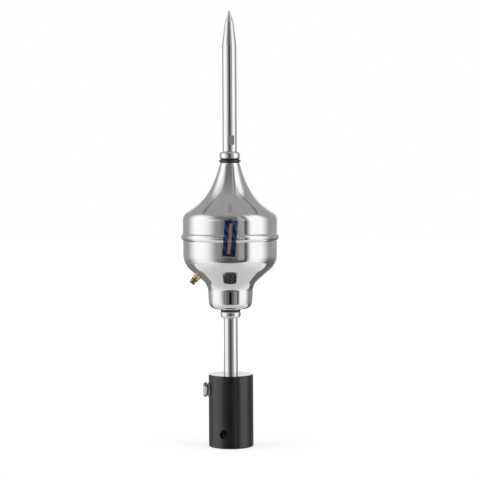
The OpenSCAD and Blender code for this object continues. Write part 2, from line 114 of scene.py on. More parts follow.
class Outline:
    """Points of a turned outline, made of straight stretches and arcs, in millimetres."""

    turn_step = math.radians(3.0)
    length_step = 2.5
    least_turn = 1e-4

    @classmethod
    def straight(cls, a: Vector, b: Vector) -> list[Vector]:
        """Splits a straight stretch into short ones.

        Args:
            a: Start of the stretch.
            b: End of the stretch.

        Returns:
            The points after the start, up to and with the end.
        """
        count = max(1, math.ceil((b - a).length / cls.length_step))
        return [a.lerp(b, k / count) for k in range(1, count + 1)]

    @classmethod
    def arc(cls, centre: Vector, radius: float, start: float, end: float) -> list[Vector]:
        """Points of an arc.

        Args:
            centre: Centre of the arc.
            radius: Its radius.
            start: First angle, in radians.
            end: Last angle, in radians.

        Returns:
            The points with both ends.
        """
        sweep = abs(end - start)
        count = max(2, math.ceil(sweep / cls.turn_step), math.ceil(sweep * radius / cls.length_step))
        angles = [start + (end - start) * k / count for k in range(count + 1)]
        return [centre + radius * Vector((math.cos(a), math.sin(a))) for a in angles]

    @classmethod
    def rounded(cls, knees: Sequence[Knee]) -> list[Vector]:
        """Follows the knees with each corner rounded by its own radius.

        Args:
            knees: Corners of the outline in order.

        Returns:
            The points of the whole path, with both ends.
        """
        points = [knees[0].at]
        for before, knee, after in zip(knees, knees[1:], knees[2:]):
            into = (knee.at - before.at).normalized()
            out = (after.at - knee.at).normalized()
            turn = into.angle(out)
            if knee.bend <= 0.0 or turn < cls.least_turn:
                points += cls.straight(points[-1], knee.at)
                continue
            start = knee.at - into * knee.bend * math.tan(turn / 2)
            side = math.copysign(1.0, into.cross(out))
            centre = start + side * knee.bend * Vector((-into.y, into.x))
            first = math.atan2(*(start - centre).yx)
            points += cls.straight(points[-1], start)
            points += cls.arc(centre, knee.bend, first, first + side * turn)[1:]
        return points + cls.straight(points[-1], knees[-1].at)

    @staticmethod
    def inset(knees: Sequence[Knee], gap: float) -> list[Knee]:
        """Moves a path to its right-hand side, so that a sheet keeps one thickness.

        Args:
            knees: Corners of the outer path.
            gap: Distance of the inner path.

        Returns:
            Corners of the inner path in the same order.
        """
        courses = [(b.at - a.at).normalized() for a, b in zip(knees, knees[1:])]
        moved = []
        for i, knee in enumerate(knees):
            a = courses[max(0, i - 1)]
            b = courses[min(len(courses) - 1, i)]
            right = Vector((a.y + b.y, -a.x - b.x)) / (1.0 + a.dot(b))
            at = knee.at + gap * right
            bend = knee.bend + gap * math.copysign(1.0, a.cross(b)) if knee.bend > 0.0 else 0.0
            moved.append(Knee(at.x, at.y, bend))
        return moved


class Workshop:
    """Shared steps of modelling a piece and of handing it to the frame."""

    merge = 0.001 * MM
    flat_angle = math.radians(0.2)
    edge_angle = math.radians(28.0)
    edge_segments = 2

    @staticmethod
    def only(obj: bpy.types.Object) -> None:
        """Makes an object the only selected and the active one."""
        bpy.ops.object.select_all(action="DESELECT")
        obj.select_set(True)
        bpy.context.view_layer.objects.active = obj

    @classmethod
    def lathe(cls, name: str, outline: Sequence[Vector], steps: int, closed: bool = True) -> bpy.types.Object:
        """Draws an outline by extruding one vertex and spins it round the axis.

        Args:
            name: Name of the new piece.
            outline: Points of radius and height, in millimetres.
            steps: Number of steps round the axis.
            closed: Whether the last point joins the first.

        Returns:
            The spun piece, with its faces outward.
        """
        bpy.ops.object.select_all(action="DESELECT")
        bpy.ops.mesh.primitive_plane_add(size=MM)
        obj = bpy.context.object
        obj.name = name
        bpy.ops.object.mode_set(mode="EDIT")
        bpy.ops.mesh.select_all(action="SELECT")
        bpy.ops.mesh.merge(type="CENTER")
        here = outline[0]
        bpy.ops.transform.translate(value=(here.x * MM, 0.0, here.y * MM))
        for point in list(outline[1:]) + ([outline[0]] if closed else []):
            move = (point - here) * MM
            bpy.ops.mesh.extrude_vertices_move(TRANSFORM_OT_translate={"value": (move.x, 0.0, move.y)})
            here = point
        bpy.ops.mesh.select_all(action="SELECT")
        bpy.ops.mesh.remove_doubles(threshold=cls.merge)
        bpy.ops.mesh.spin(steps=steps, angle=math.tau, center=(0, 0, 0), axis=(0, 0, 1))
        bpy.ops.mesh.select_all(action="SELECT")
        bpy.ops.mesh.remove_doubles(threshold=cls.merge)
        bpy.ops.mesh.normals_make_consistent(inside=False)
        bpy.ops.object.mode_set(mode="OBJECT")
        return obj

    @classmethod
    def copy_node(cls, node: str, name: str, edge: float) -> bpy.types.Object:
        """Copies a CAD node, merges the copy's faces and rounds its edges.

        Args:
            node: The CAD node.
            name: Name of the copy.
            edge: Width of the rounding, in millimetres.

        Returns:
            The finished copy.
        """
        cls.only(frame["nodes"][node])
        bpy.ops.object.duplicate()
        obj = bpy.context.object
        obj.name = name
        bpy.ops.object.parent_clear(type="CLEAR_KEEP_TRANSFORM")
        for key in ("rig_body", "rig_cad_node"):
            if key in obj:
                del obj[key]
        bpy.ops.object.mode_set(mode="EDIT")
        bpy.ops.mesh.select_all(action="SELECT")
        bpy.ops.mesh.remove_doubles(threshold=cls.merge)
        bpy.ops.mesh.dissolve_limited(angle_limit=cls.flat_angle)
        bpy.ops.mesh.normals_make_consistent(inside=False)
        bpy.ops.object.mode_set(mode="OBJECT")
        cls.modify(obj, "BEVEL", width=edge * MM, segments=cls.edge_segments, limit_method="ANGLE",
                   angle_limit=cls.edge_angle, harden_normals=False)
        return obj

    @classmethod
    def modify(cls, obj: bpy.types.Object, kind: str, **settings) -> None:
        """Changes a piece by one modifier.

        Args:
            obj: The piece.
            kind: The modifier's type.
            settings: Its properties.
        """
        cls.only(obj)
        bpy.ops.object.modifier_add(type=kind)
        modifier = obj.modifiers[-1]
        for name, value in settings.items():
            setattr(modifier, name, value)
        bpy.ops.object.modifier_apply(modifier=modifier.name)

    @classmethod
    def cut(cls, obj: bpy.types.Object, tool: bpy.types.Object) -> None:
        """Takes a tool's volume out of a piece and deletes the tool."""
        cls.modify(obj, "BOOLEAN", operation="DIFFERENCE", solver="EXACT", object=tool)
        bpy.data.objects.remove(tool, do_unlink=True)

    @classmethod
    def place(cls, obj: bpy.types.Object, matrix: Matrix) -> None:
        """Moves a piece and bakes the move into its mesh."""
        cls.only(obj)
        obj.matrix_world = matrix
        bpy.ops.object.transform_apply(location=True, rotation=True, scale=True)

    @classmethod
    def smooth(cls, obj: bpy.types.Object, degrees: float = 30.0) -> None:
        """Shades a piece smooth, apart from edges sharper than an angle."""
        cls.only(obj)
        bpy.ops.object.shade_smooth_by_angle(angle=math.radians(degrees))

    @staticmethod
    def dress(obj: bpy.types.Object, *materials: bpy.types.Material) -> None:
        """Gives a piece its materials in order."""
        obj.data.materials.clear()
        for material in materials:
            obj.data.materials.append(material)

    @staticmethod
    def hand_over(obj: bpy.types.Object, slot: Slot, *nodes: str) -> None:
        """Lets a new piece ride on the body in place of CAD nodes.

        Args:
            obj: The finished piece.
            slot: Its slot in the record; not used.
            nodes: The CAD nodes that it stands for.
        """
        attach(obj, BODY)
        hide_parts(*nodes)
        LOG.info("%s: %d faces for %s", obj.name, len(obj.data.polygons), ", ".join(nodes))


class Graph:
    """Short calls for building one node tree."""

    def __init__(self, tree: bpy.types.NodeTree) -> None:
        """Keeps the tree."""
        self.tree = tree

    def node(self, kind: str, inputs: Optional[dict] = None, **settings) -> bpy.types.Node:
        """Adds a node.

        Args:
            kind: The node's type.
            inputs: Values or sockets for its inputs, by name or index.
            settings: Properties of the node.

        Returns:
            The new node.
        """
        made = self.tree.nodes.new(kind)
        for name, value in settings.items():
            setattr(made, name, value)
        for name, value in (inputs or {}).items():
            self.feed(made.inputs[name], value)
        return made

    def feed(self, target: Socket, value) -> None:
        """Links a socket to an input, or sets the input's value."""
        if isinstance(value, bpy.types.NodeSocket):
            self.tree.links.new(value, target)
        else:
            target.default_value = value

    def math(self, operation: str, a: Value, b: Value = 0.0) -> Socket:
        """Result of a math node."""
        return self.node("ShaderNodeMath", {0: a, 1: b}, operation=operation).outputs[0]

    def product(self, *values: Value) -> Socket:
        """Product of values."""
        return reduce(lambda a, b: self.math("MULTIPLY", a, b), values)

    def add_scaled(self, a: Value, factor: Value, b: Value) -> Socket:
        """A value times a factor, plus another value."""
        return self.node("ShaderNodeMath", {0: a, 1: factor, 2: b}, operation="MULTIPLY_ADD").outputs[0]

    def remap(self, value: Value, low: float, high: float, to_low: float, to_high: float,
              smooth: bool = False) -> Socket:
        """A value carried from one range to another.

        Args:
            value: The value to carry.
            low: Start of its range.
            high: End of its range.
            to_low: Result at the start.
            to_high: Result at the end.
            smooth: Whether the change eases in and out.

        Returns:
            The result, held at its ends.
        """
        inputs = {"Value": value, "From Min": low, "From Max": high, "To Min": to_low, "To Max": to_high}
        kind = "SMOOTHSTEP" if smooth else "LINEAR"
        return self.node("ShaderNodeMapRange", inputs, interpolation_type=kind).outputs[0]

    def mix(self, factor: Value, a, b) -> Socket:
        """Mix of two colours."""
        made = self.node("ShaderNodeMix", {0: factor}, data_type="RGBA")
        self.feed(made.inputs[6], a)
        self.feed(made.inputs[7], b)
        return made.outputs[2]

    def place(self, scale: Sequence[float] = (1.0, 1.0, 1.0)) -> Socket:
        """Object coordinates, stretched."""
        where = self.node("ShaderNodeTexCoord").outputs["Object"]
        return self.vector("MULTIPLY", where, tuple(scale)).outputs[0]

    def vector(self, operation: str, a: Socket, b: Sequence[float] = (0.0, 0.0, 0.0)) -> bpy.types.Node:
        """A vector math node."""
        return self.node("ShaderNodeVectorMath", {0: a, 1: b}, operation=operation)

    def split(self, vector: Socket) -> tuple[Socket, Socket, Socket]:
        """Parts of a vector along X, Y and Z."""
        x, y, z = self.node("ShaderNodeSeparateXYZ", {0: vector}).outputs
        return x, y, z

    def away(self) -> Socket:
        """Distance from the origin."""
        return self.vector("LENGTH", self.place()).outputs["Value"]

    @staticmethod
    def grey(level: float) -> tuple[float, float, float, float]:
        """An opaque grey."""
        return level, level, level, 1.0

    def noise(self, vector: Socket, scale: float, detail: float = 2.0, rough: float = 0.5) -> Socket:
        """Noise between 0 and 1."""
        inputs = {"Vector": vector, "Scale": scale, "Detail": detail, "Roughness": rough}
        return self.node("ShaderNodeTexNoise", inputs).outputs[0]


class Effects:
    """Node groups that several finishes share, built once each."""

    @staticmethod
    def group(name: str, outputs: Iterable[str]) -> tuple[bpy.types.NodeTree, Graph, bpy.types.Node]:
        """Starts a node group with float outputs.

        Args:
            name: Name of the group.
            outputs: Names of its outputs.

        Returns:
            The tree, its graph and its output node.
        """
        tree = bpy.data.node_groups.new(name, "ShaderNodeTree")
        for output in outputs:
            tree.interface.new_socket(output, in_out="OUTPUT", socket_type="NodeSocketFloat")
        graph = Graph(tree)
        return tree, graph, graph.node("NodeGroupOutput")

    @classmethod
    @cache
    def spun(cls) -> bpy.types.NodeTree:
        """Slow waves and fine rings that spinning leaves on a sheet, with a mask of wiped haze."""
        tree, graph, out = cls.group("spun_marks", ("Wave", "Rings", "Haze"))
        graph.feed(out.inputs["Wave"], graph.noise(graph.place((1.0, 1.0, 1.6)), scale=38.0, detail=1.0))
        graph.feed(out.inputs["Rings"], graph.noise(graph.place((4.0, 4.0, 700.0)), scale=1.0))
        haze = graph.noise(graph.place((1.0, 1.0, 0.5)), scale=60.0, detail=4.0, rough=0.6)
        graph.feed(out.inputs["Haze"], graph.remap(haze, 0.42, 0.72, 0.0, 1.0, True))
        return tree

    @classmethod
    @cache
    def grain(cls) -> bpy.types.NodeTree:
        """Fine even grain with a mask of patches."""
        tree, graph, out = cls.group("grain", ("Grain", "Patches"))
        graph.feed(out.inputs["Grain"], graph.noise(graph.place(), scale=2600.0))
        patches = graph.noise(graph.place(), scale=90.0, detail=3.0, rough=0.6)
        graph.feed(out.inputs["Patches"], graph.remap(patches, 0.35, 0.7, 0.0, 1.0, True))
        return tree

    @classmethod
    @cache
    def turned(cls) -> bpy.types.NodeTree:
        """Tool marks round the axis with a mask of handled places."""
        tree, graph, out = cls.group("turned_marks", ("Marks", "Handled"))
        graph.feed(out.inputs["Marks"], graph.noise(graph.place((20.0, 20.0, 2600.0)), scale=1.0, detail=1.0))
        handled = graph.noise(graph.place((1.0, 1.0, 0.4)), scale=55.0, detail=3.0, rough=0.55)
        graph.feed(out.inputs["Handled"], graph.remap(handled, 0.4, 0.75, 0.0, 1.0, True))
        return tree


@dataclass(frozen=True)
class Finish:
    """A plain finish with grain and patches. Other finishes change what it feeds to the shader."""

    name: str
    colour: Colour
    second: Colour
    rough: Pair
    metallic: float = 0.0
    bump: float = 0.01
    coat: float = 0.0
    specular: float = 0.5

    def effect(self) -> tuple[bpy.types.NodeTree, str, str]:
        """The node group of the finish, with the names of its relief and of its mask."""
        return Effects.grain(), "Grain", "Patches"

    def build(self) -> bpy.types.Material:
        """Builds the material.

        Returns:
            A material whose colour and roughness follow the finish's mask, with its relief as a bump.
        """
        material = bpy.data.materials.new(self.name)
        material.use_nodes = True
        tree = material.node_tree
        graph = Graph(tree)
        shader = tree.nodes["Principled BSDF"]
        group, relief, mask = self.effect()
        marks = graph.node("ShaderNodeGroup", node_tree=group)
        shader.inputs["Metallic"].default_value = self.metallic
        shader.inputs["Coat Weight"].default_value = self.coat
        shader.inputs["Specular IOR Level"].default_value = self.specular
        graph.feed(shader.inputs["Base Color"],
                   graph.mix(marks.outputs[mask], (*self.colour, 1.0), (*self.second, 1.0)))
        graph.feed(shader.inputs["Roughness"],
                   graph.remap(marks.outputs[mask], 0.0, 1.0, *self.rough))
        bump = graph.node("ShaderNodeBump", {"Height": marks.outputs[relief], "Distance": self.bump * MM})
        graph.feed(shader.inputs["Normal"], bump.outputs[0])
        self.extra(graph, shader, marks)
        return material

    def extra(self, graph: Graph, shader: bpy.types.Node, marks: bpy.types.Node) -> None:
        """Adds what one finish has beyond the plain one."""


@dataclass(frozen=True)
class Polish(Finish):
    """Mirror polish on a spun or turned piece, with slow waves and faint rings."""

    rings: float = 0.0004

    def effect(self) -> tuple[bpy.types.NodeTree, str, str]:
        """Spun marks."""
        return Effects.spun(), "Wave", "Haze"

    def extra(self, graph: Graph, shader: bpy.types.Node, marks: bpy.types.Node) -> None:
        """Lays the faint rings over the slow waves."""
        under = shader.inputs["Normal"].links[0].from_socket
        inputs = {"Height": marks.outputs["Rings"], "Distance": self.rings * MM, "Normal": under}
        graph.feed(shader.inputs["Normal"], graph.node("ShaderNodeBump", inputs).outputs[0])


@dataclass(frozen=True)
class Turned(Finish):
    """A turned surface with tool marks."""

    def effect(self) -> tuple[bpy.types.NodeTree, str, str]:
        """Turned marks."""
        return Effects.turned(), "Marks", "Handled"


@dataclass(frozen=True)
class Faced(Turned):
    """A turned surface whose top face is smoother than its side and glossier."""

    face_z: float = 0.0
    face_depth: Pair = (0.4 * MM, 0.05 * MM)
    face_rough: float = 0.12

    def extra(self, graph: Graph, shader: bpy.types.Node, marks: bpy.types.Node) -> None:
        """Lowers the roughness on the top face and lays a coat on it."""
        height = graph.split(graph.place())[2]
        starts, ends = (self.face_z - depth for depth in self.face_depth)
        face = graph.remap(height, starts, ends, 0.0, 1.0)
        side = shader.inputs["Roughness"].links[0].from_socket
        kept = graph.product(side, graph.math("SUBTRACT", 1.0, face))
        graph.feed(shader.inputs["Roughness"], graph.add_scaled(face, self.face_rough, kept))
        graph.feed(shader.inputs["Coat Weight"], face)
        shader.inputs["Coat Roughness"].default_value = self.face_rough


@dataclass(frozen=True)
class Banded(Finish):
    """A plated bolt with a dark band of painted shade across its axis, where the gap under its head lies,
    with the band's place in metres.
    """

    axis: tuple[float, float, float] = BOLT_AXIS
    band: Pair = BOLT_BAND
    edge: float = 0.1 * MM
    # Colour of the band: painted shade in the gap under the head.
    gap_shade: Colour = (0.008, 0.008, 0.008)

    def extra(self, graph: Graph, shader: bpy.types.Node, marks: bpy.types.Node) -> None:
        """Lays the band of painted shade over the plating: a near-black mirror in the gap under the head."""
        along = graph.vector("DOT_PRODUCT", graph.place(), self.axis).outputs["Value"]
        low, high = self.band
        starts = graph.remap(along, low - self.edge, low, 0.0, 1.0)
        ends = graph.remap(along, high, high + self.edge, 1.0, 0.0)
        inside = graph.product(starts, ends)
        plating = shader.inputs["Base Color"].links[0].from_socket
        graph.feed(shader.inputs["Base Color"], graph.mix(inside, plating, (*self.gap_shade, 1.0)))
        shine = graph.remap(inside, 0.0, 1.0, self.metallic, 1.0)
        graph.feed(shader.inputs["Metallic"], shine)


@dataclass(frozen=True)
class Printed(Finish):
    """A printed film: a dark field with soft leaning bands, thin wisps and one pale hatched bar.

    Sizes on the film are shares of its own width and length.
    """

    middle: Pair = (0.0, 0.0)
    size: Pair = LABEL_SIZE
    lean: float = LABEL_LEAN
    glow: Colour = (0.012, 0.058, 0.23)
    wisp: Colour = (0.07, 0.21, 0.52)
    bar: Colour = (0.44, 0.29, 0.24)
    slant: float = 2.2
    wander: float = 0.9
    waves: float = 9.0
    fade_lean: float = 0.3
    fade: Pair = (-0.5, 0.1)
    fade_least: float = 0.1
    band_edge: Pair = (-0.5, 0.9)
    wisp_edge: Pair = (0.9, 1.0)
    wisp_most: float = 0.7
    bar_side: Pair = (0.11, 0.14)
    bar_end: Pair = (0.42, 0.43)
    hatch: Pair = (30.0, 150.0)
    hatch_edge: Pair = (-0.7, 0.1)
    hatch_least: float = 0.35

    def extra(self, graph: Graph, shader: bpy.types.Node, marks: bpy.types.Node) -> None:
        """Prints the bands, the wisps and the bar."""
        across, along = self.own_axes(graph)
        field_colour = shader.inputs["Base Color"].links[0].from_socket
        printed = self.bands(graph, across, along, field_colour)
        beside = graph.remap(graph.math("ABSOLUTE", across), *self.bar_side, 1.0, 0.0)
        inside = graph.remap(graph.math("ABSOLUTE", along), *self.bar_end, 1.0, 0.0)
        sideways, upwards = self.hatch
        slope = graph.add_scaled(across, sideways, graph.product(along, upwards))
        hatch = graph.remap(graph.math("SINE", slope), *self.hatch_edge, self.hatch_least, 1.0, True)
        in_bar = graph.product(beside, inside, hatch)
        graph.feed(shader.inputs["Base Color"], graph.mix(in_bar, printed, (*self.bar, 1.0)))

    def own_axes(self, graph: Graph) -> tuple[Socket, Socket]:
        """Places across and along the film."""
        x, z = self.middle
        spot = graph.vector("SUBTRACT", graph.place(), (x, 0.0, z)).outputs[0]
        inputs = {"Vector": spot, "Angle": -self.lean}
        turned = graph.node("ShaderNodeVectorRotate", inputs, rotation_type="Y_AXIS").outputs[0]
        across, _, along = graph.split(turned)
        width, length = self.size
        return graph.math("DIVIDE", across, width), graph.math("DIVIDE", along, length)

    def bands(self, graph: Graph, across: Socket, along: Socket, under: Socket) -> Socket:
        """Colour of the field with its bands and wisps.

        Args:
            graph: Graph of the film's material.
            across: Place across the film.
            along: Place along it.
            under: Colour of the bare field.

        Returns:
            The printed colour.
        """
        drift = graph.noise(graph.place((1.0, 1.0, 0.6)), scale=150.0, detail=3.0)
        phase = graph.add_scaled(drift, self.wander, graph.add_scaled(along, self.slant, across))
        wave = graph.math("SINE", graph.product(phase, self.waves))
        height = graph.math("SUBTRACT", along, graph.product(across, self.fade_lean))
        strength = graph.remap(height, *self.fade, self.fade_least, 1.0)
        band = graph.product(graph.remap(wave, *self.band_edge, 0.0, 1.0, True), strength)
        wisp = graph.product(graph.remap(wave, *self.wisp_edge, 0.0, self.wisp_most, True), strength)
        return graph.mix(wisp, graph.mix(band, under, (*self.glow, 1.0)), (*self.wisp, 1.0))


@dataclass
class Palette:
    """The finishes of the part, built once each."""

    film: Printed
    top_face: float
    steel: Colour = (0.80, 0.80, 0.81)
    haze: Colour = (0.76, 0.76, 0.77)
    made: dict[str, bpy.types.Material] = field(default_factory=dict)

    def finishes(self) -> dict[str, Finish]:
        """All finishes by the names that the sub-assemblies use."""
        return {
            "steel": Polish("polished_steel", self.steel, self.haze, (0.035, 0.075), metallic=1.0, bump=0.05),
            "collar": Polish("polished_collar", self.steel, self.haze, (0.03, 0.06), metallic=1.0,
                             bump=0.008),
            "rod": Polish("polished_bar", self.steel, self.haze, (0.08, 0.1), metallic=1.0, bump=0.008,
                          rings=0.0005),
            "ground": Finish("ground_steel", (0.82, 0.81, 0.80), (0.74, 0.73, 0.72), (0.4, 0.48),
                             metallic=1.0, bump=0.006),
            "milled": Finish("milled_steel", (0.52, 0.51, 0.51), (0.44, 0.43, 0.43), (0.38, 0.5),
                             metallic=1.0, bump=0.012),
            "insulator": Finish("moulded_black", (0.012, 0.012, 0.012), (0.02, 0.02, 0.02), (0.42, 0.55),
                                bump=0.006),
            "rubber": Finish("black_rubber", (0.010, 0.010, 0.010), (0.016, 0.016, 0.015), (0.16, 0.24),
                             bump=0.003, specular=0.8),
            "brass": Polish("polished_brass", (1.00, 0.75, 0.36), (0.95, 0.62, 0.25), (0.04, 0.09),
                            metallic=1.0, bump=0.006),
            "tarnish": Finish("tarnished_brass", (0.10, 0.045, 0.012), (0.20, 0.09, 0.025), (0.25, 0.35),
                              metallic=0.7, bump=0.003),
            "plated": Finish("bright_plating", (0.74, 0.75, 0.77), (0.66, 0.67, 0.69), (0.25, 0.34),
                             metallic=1.0, bump=0.002),
            # Lit and shaded copies of the bolt's plating: the nearly white, barely metallic copy paints the
            # light on the head's front facet, and the darker copy paints shade on its upper and lower facets.
            # The darker copy also colours the washer.
            "bolt": Banded("bolt_plating", (0.95, 0.95, 0.96), (0.90, 0.90, 0.91), (0.3, 0.38),
                           metallic=0.1, bump=0.002, specular=0.9),
            "dull": Banded("dull_and_shaded_plating", (0.40, 0.40, 0.41), (0.34, 0.34, 0.35), (0.4, 0.5),
                           metallic=0.6, bump=0.003),
            "spring": Finish("rolled_strip", (0.60, 0.58, 0.52), (0.50, 0.48, 0.43), (0.28, 0.4),
                             metallic=1.0, bump=0.004),
            "resin": Finish("cast_resin", (0.02, 0.02, 0.024), (0.035, 0.035, 0.04), (0.25, 0.4)),
            "lead": Finish("lead_cover", (0.42, 0.02, 0.015), (0.34, 0.018, 0.014), (0.35, 0.45), bump=0.004),
            "black": Faced("black_metal", (0.004, 0.004, 0.004), (0.006, 0.006, 0.006), (0.2, 0.26),
                           bump=0.001, specular=0.8, face_z=self.top_face),
            "film": self.film,
        }

    def get(self, name: str) -> bpy.types.Material:
        """The material of a finish, built at its first use."""
        if name not in self.made:
            self.made[name] = self.finishes()[name].build()
        return self.made[name]


@dataclass
class Finial:
    """Pointed upper rod with its spanner flats, in millimetres."""

    palette: Palette
    rod_r: float = 9.0
    bore_r: float = 6.1
    bore_l: float = 30.0
    taper_l: float = 29.0
    point_l: float = 14.3
    point_base_r: float = 5.35
    point_r: float = 0.9
    flat_half: float = 8.0
    flat_z: float = 8.4
    flat_l: float = 11.5
    flat_turn: float = math.radians(11.0)
    foot_bend: float = 0.5
    taper_bend: float = 6.0
    point_bend: float = 3.0
    tip_share: float = 0.8
    flat_near: float = 0.01
    flat_facing: float = 0.999
    crisp: float = 25.0
    steps: int = 128

    def build(self) -> None:
        """Spins the rod, mills its two flats and hands it over."""
        low, high = (corner.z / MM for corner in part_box("finial_rod"))
        base = high - self.point_l
        knees = [
            Knee(0.0, low + self.bore_l),
            Knee(self.bore_r, low + self.bore_l),
            Knee(self.bore_r, low),
            Knee(self.rod_r, low, self.foot_bend),
            Knee(self.rod_r, base - self.taper_l, self.taper_bend),
            Knee(self.point_base_r, base, self.point_bend),
            Knee(self.point_r, high, self.tip_share * self.point_r),
            Knee(0.0, high),
        ]
        rod = Workshop.lathe("finial", Outline.rounded(knees), self.steps, closed=False)
        for half in (0.0, math.pi):
            self.mill(rod, low + self.flat_z, half)
        Workshop.smooth(rod, self.crisp)
        Workshop.dress(rod, self.palette.get("rod"), self.palette.get("milled"), self.palette.get("ground"))
        self.mark_faces(rod, base)
        Workshop.hand_over(rod, Slot.STEEL, "finial_rod")

    def mill(self, rod: bpy.types.Object, low: float, half: float) -> None:
        """Mills one flat.

        Args:
            rod: The spun rod.
            low: Height of the flat's lower end.
            half: Turn of the flat round the axis beyond the first one.
        """
        bpy.ops.mesh.primitive_cube_add(size=MM)
        tool = bpy.context.object
        reach = 2.0 * self.rod_r
        spot = Matrix.Translation((0.0, -(self.flat_half + reach / 2) * MM, (low + self.flat_l / 2) * MM))
        size = Matrix.Diagonal((2.0 * reach, reach, self.flat_l, 1.0))
        tool.matrix_world = Matrix.Rotation(self.flat_turn + half, 4, "Z") @ spot @ size
        Workshop.cut(rod, tool)

    def mark_faces(self, rod: bpy.types.Object, base: float) -> None:
        """Gives the milled flats and the ground point their own materials.

        Args:
            rod: The finished rod.
            base: Height at which the point starts.
        """
        out = Vector((math.sin(self.flat_turn), -math.cos(self.flat_turn), 0.0))
        for polygon in rod.data.polygons:
            level = abs(polygon.center.dot(out)) / MM
            facing = abs(polygon.normal.dot(out)) > self.flat_facing
            if polygon.center.z > base * MM:
                polygon.material_index = 2
            elif facing and abs(level - self.flat_half) < self.flat_near:
                polygon.material_index = 1


@dataclass
class Collar:
    """Round collar at one end of the shell, in millimetres."""

    palette: Palette
    end: End
    collar_r: float = 13.0
    upper_bend: float = 4.2
    lower_bend: float = 3.7
    shell_bend: float = 2.0
    bore_r: float = 6.1
    seat_r: float = 9.1
    core_bore_r: float = 7.1
    steps: int = 160

    def build(self) -> None:
        """Spins the collar and hands it over."""
        node = f"{self.end.value}_collar"
        low, high = (corner.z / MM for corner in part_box(node))
        if self.end is End.UPPER:
            knees = [
                Knee(self.bore_r, low),
                Knee(self.collar_r, low, self.shell_bend),
                Knee(self.collar_r, high, self.upper_bend),
                Knee(self.bore_r, high),
            ]
        else:
            middle = (low + high) / 2
            knees = [
                Knee(self.seat_r, middle),
                Knee(self.seat_r, low),
                Knee(self.collar_r, low, self.lower_bend),
                Knee(self.collar_r, high, self.shell_bend),
                Knee(self.core_bore_r, high),
                Knee(self.core_bore_r, middle),
            ]
        ring = Workshop.lathe(f"collar_{self.end.value}", Outline.rounded(knees), self.steps)
        Workshop.smooth(ring)
        Workshop.dress(ring, self.palette.get("collar"))
        Workshop.hand_over(ring, Slot.STEEL, node)


